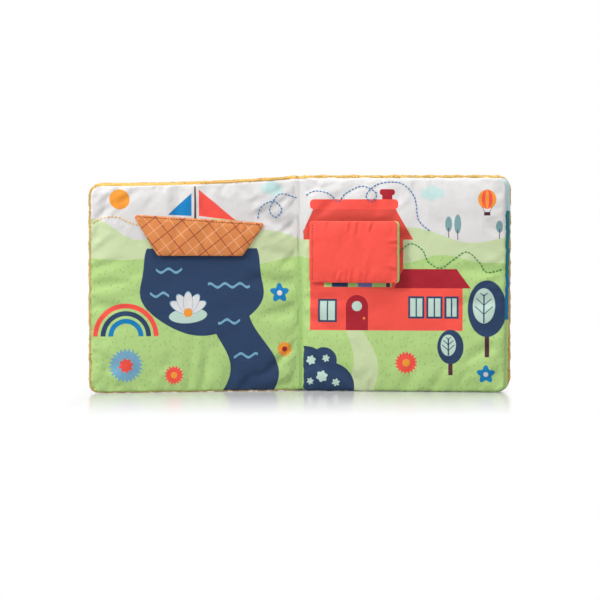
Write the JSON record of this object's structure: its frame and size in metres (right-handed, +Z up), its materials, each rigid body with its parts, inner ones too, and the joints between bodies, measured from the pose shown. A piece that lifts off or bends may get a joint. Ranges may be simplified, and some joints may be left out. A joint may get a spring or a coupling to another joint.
{
  "type": "cloth book",
  "caption": "Padded cloth book standing open, with plush covers, printed padded leaves, a red window flap and a plaid flap.",
  "frame": {"origin": "centre of the spine's foot, on the surface the book stands on", "axes": "+X to the reader's right, +Y away from the reader, +Z up"},
  "size_m": [0.4174, 0.0582, 0.215],
  "materials": {
    "plush": "short plush pile",
    "leaf_print": "printed cloth, smooth, padded",
    "front_print": "printed cloth, smooth, padded",
    "back_print": "printed cloth, smooth, padded",
    "window_cloth": "plain red cloth, smooth, padded",
    "window_lining": "printed cloth",
    "plaid_cloth": "printed plaid cloth",
    "plaid_lining": "plain cloth",
    "wadding": "loose polyester fibre"
  },
  "bodies": {
    "root": {"spine": "plush", "pages": "leaf_print", "window_flap_face": "window_cloth", "window_flap_wadding": "wadding", "window_flap_lining": "window_lining"},
    "front_cover": {"front_cover_plush": "plush", "front_cover_wadding": "wadding", "front_cover_lining": "front_print", "plaid_flap_face": "plaid_cloth", "plaid_flap_wadding": "wadding", "plaid_flap_lining": "plaid_lining"},
    "back_cover": {"back_cover_plush": "plush", "back_cover_wadding": "wadding", "back_cover_lining": "back_print"}
  },
  "joints": [
    {"name": "front_cover_hinge", "type": "hinge", "parent": "root", "child": "front_cover", "pos_m": [0.00298, -0.02253, 0], "axis": [0, 0, 1], "range_deg": [-18, 158]},
    {"name": "back_cover_hinge", "type": "hinge", "parent": "root", "child": "back_cover", "pos_m": [0.0034, 0.00553, 0], "axis": [0, 0, 1], "range_deg": [0, 175]}
  ]
}
